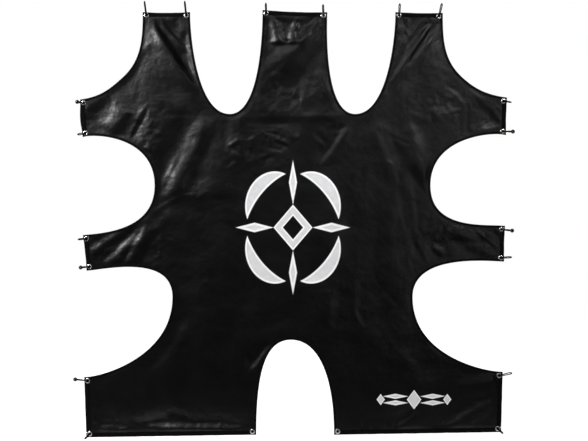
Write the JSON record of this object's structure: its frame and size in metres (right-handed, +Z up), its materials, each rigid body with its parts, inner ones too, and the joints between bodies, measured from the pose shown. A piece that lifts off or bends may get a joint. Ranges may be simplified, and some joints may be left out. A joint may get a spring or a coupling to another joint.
{
  "type": "goal shooting target sheet",
  "caption": "Black coated-cloth shooting target sheet with cut-out openings, hemmed tabs, eyelets and elastic ball ties that lace it into a goal frame.",
  "frame": {"origin": "middle of the nominal top hem line, in the sheet's mid-plane, as it hangs", "axes": "+X to the sheet's right as seen from the front, +Y to the back, +Z up; the front faces -Y"},
  "size_m": [1.8289, 0.0377, 1.8108],
  "materials": {
    "sheet_cloth": "black coated polyester cloth, semi-gloss, creased",
    "hem_webbing": "black double-folded hem, satin",
    "binding_tape": "black woven binding tape, matt",
    "eyelet_nickel": "bright nickel plate",
    "elastic_cord": "black braided elastic cord, matt",
    "ball_plastic": "black moulded plastic, satin gloss"
  },
  "bodies": {
    "root": {"target_sheet": "sheet_cloth", "top_left_hem": "hem_webbing", "top_middle_hem": "hem_webbing", "top_right_hem": "hem_webbing", "upper_right_hem": "hem_webbing", "lower_right_hem": "hem_webbing", "right_foot_side_hem": "hem_webbing", "right_foot_bottom_hem": "hem_webbing", "left_foot_bottom_hem": "hem_webbing", "left_foot_side_hem": "hem_webbing", "lower_left_hem": "hem_webbing", "upper_left_hem": "hem_webbing", "left_notch_binding": "binding_tape", "right_notch_binding": "binding_tape", "right_corner_binding": "binding_tape", "right_upper_bay_binding": "binding_tape", "right_lower_bay_binding": "binding_tape", "arch_binding": "binding_tape", "left_lower_bay_binding": "binding_tape", "left_upper_bay_binding": "binding_tape", "left_corner_binding": "binding_tape", "tied_eyelets": "eyelet_nickel", "free_eyelets": "eyelet_nickel", "eyelet_washers": "eyelet_nickel"},
    "top_tie_1": {"top_tie_1_cord": "elastic_cord", "top_tie_1_ball": "ball_plastic"},
    "top_tie_2": {"top_tie_2_cord": "elastic_cord", "top_tie_2_ball": "ball_plastic"},
    "top_tie_3": {"top_tie_3_cord": "elastic_cord", "top_tie_3_ball": "ball_plastic"},
    "top_tie_4": {"top_tie_4_cord": "elastic_cord", "top_tie_4_ball": "ball_plastic"},
    "top_tie_5": {"top_tie_5_cord": "elastic_cord", "top_tie_5_ball": "ball_plastic"},
    "top_tie_6": {"top_tie_6_cord": "elastic_cord", "top_tie_6_ball": "ball_plastic"},
    "right_tie_1": {"right_tie_1_cord": "elastic_cord", "right_tie_1_ball": "ball_plastic"},
    "right_tie_2": {"right_tie_2_cord": "elastic_cord", "right_tie_2_ball": "ball_plastic"},
    "right_tie_3": {"right_tie_3_cord": "elastic_cord", "right_tie_3_ball": "ball_plastic"},
    "right_tie_4": {"right_tie_4_cord": "elastic_cord", "right_tie_4_ball": "ball_plastic"},
    "right_tie_5": {"right_tie_5_cord": "elastic_cord", "right_tie_5_ball": "ball_plastic"},
    "right_tie_6": {"right_tie_6_cord": "elastic_cord", "right_tie_6_ball": "ball_plastic"},
    "left_tie_1": {"left_tie_1_cord": "elastic_cord", "left_tie_1_ball": "ball_plastic"},
    "left_tie_2": {"left_tie_2_cord": "elastic_cord", "left_tie_2_ball": "ball_plastic"},
    "left_tie_3": {"left_tie_3_cord": "elastic_cord", "left_tie_3_ball": "ball_plastic"},
    "left_tie_4": {"left_tie_4_cord": "elastic_cord", "left_tie_4_ball": "ball_plastic"},
    "left_tie_5": {"left_tie_5_cord": "elastic_cord", "left_tie_5_ball": "ball_plastic"},
    "left_tie_6": {"left_tie_6_cord": "elastic_cord", "left_tie_6_ball": "ball_plastic"}
  },
  "joints": [
    {"name": "top_tie_1_swing", "type": "hinge", "parent": "root", "child": "top_tie_1", "pos_m": [-0.6045, 0, -0.014], "axis": [0, 1, 0], "range_deg": [-75, 75]},
    {"name": "top_tie_2_swing", "type": "hinge", "parent": "root", "child": "top_tie_2", "pos_m": [-0.4395, 0, -0.014], "axis": [0, 1, 0], "range_deg": [-75, 75]},
    {"name": "top_tie_3_swing", "type": "hinge", "parent": "root", "child": "top_tie_3", "pos_m": [-0.10892, 0, -0.00586], "axis": [0, 1, 0], "range_deg": [-75, 75]},
    {"name": "top_tie_4_swing", "type": "hinge", "parent": "root", "child": "top_tie_4", "pos_m": [0.12794, 0, -0.01413], "axis": [0, 1, 0], "range_deg": [-75, 75]},
    {"name": "top_tie_5_swing", "type": "hinge", "parent": "root", "child": "top_tie_5", "pos_m": [0.44127, 0, -0.01456], "axis": [0, 1, 0], "range_deg": [-75, 75]},
    {"name": "top_tie_6_swing", "type": "hinge", "parent": "root", "child": "top_tie_6", "pos_m": [0.60624, 0, -0.01744], "axis": [0, 1, 0], "range_deg": [-75, 75]},
    {"name": "right_tie_1_swing", "type": "hinge", "parent": "root", "child": "right_tie_1", "pos_m": [0.87364, 0, -0.36916], "axis": [0, 1, 0], "range_deg": [-75, 75]},
    {"name": "right_tie_2_swing", "type": "hinge", "parent": "root", "child": "right_tie_2", "pos_m": [0.87037, 0, -0.49411], "axis": [0, 1, 0], "range_deg": [-35, 35]},
    {"name": "right_tie_3_swing", "type": "hinge", "parent": "root", "child": "right_tie_3", "pos_m": [0.86554, 0, -0.90015], "axis": [0, 1, 0], "range_deg": [-35, 35]},
    {"name": "right_tie_4_swing", "type": "hinge", "parent": "root", "child": "right_tie_4", "pos_m": [0.86247, 0, -1.01711], "axis": [0, 1, 0], "range_deg": [-75, 75]},
    {"name": "right_tie_5_swing", "type": "hinge", "parent": "root", "child": "right_tie_5", "pos_m": [0.85587, 0, -1.50417], "axis": [0, 1, 0], "range_deg": [-75, 75]},
    {"name": "right_tie_6_swing", "type": "hinge", "parent": "root", "child": "right_tie_6", "pos_m": [0.84951, 0, -1.72459], "axis": [0, 1, 0], "range_deg": [-75, 75]},
    {"name": "left_tie_1_swing", "type": "hinge", "parent": "root", "child": "left_tie_1", "pos_m": [-0.86439, 0, -0.37668], "axis": [0, 1, 0], "range_deg": [-34, 6]},
    {"name": "left_tie_2_swing", "type": "hinge", "parent": "root", "child": "left_tie_2", "pos_m": [-0.85567, 0, -0.50137], "axis": [0, 1, 0], "range_deg": [-75, 75]},
    {"name": "left_tie_3_swing", "type": "hinge", "parent": "root", "child": "left_tie_3", "pos_m": [-0.85219, 0, -0.93736], "axis": [0, 1, 0], "range_deg": [-75, 75]},
    {"name": "left_tie_4_swing", "type": "hinge", "parent": "root", "child": "left_tie_4", "pos_m": [-0.83996, 0, -1.05372], "axis": [0, 1, 0], "range_deg": [-35, 35]},
    {"name": "left_tie_5_swing", "type": "hinge", "parent": "root", "child": "left_tie_5", "pos_m": [-0.84783, 0, -1.52608], "axis": [0, 1, 0], "range_deg": [-35, 35]},
    {"name": "left_tie_6_swing", "type": "hinge", "parent": "root", "child": "left_tie_6", "pos_m": [-0.83986, 0, -1.74644], "axis": [0, 1, 0], "range_deg": [-75, 75]}
  ]
}
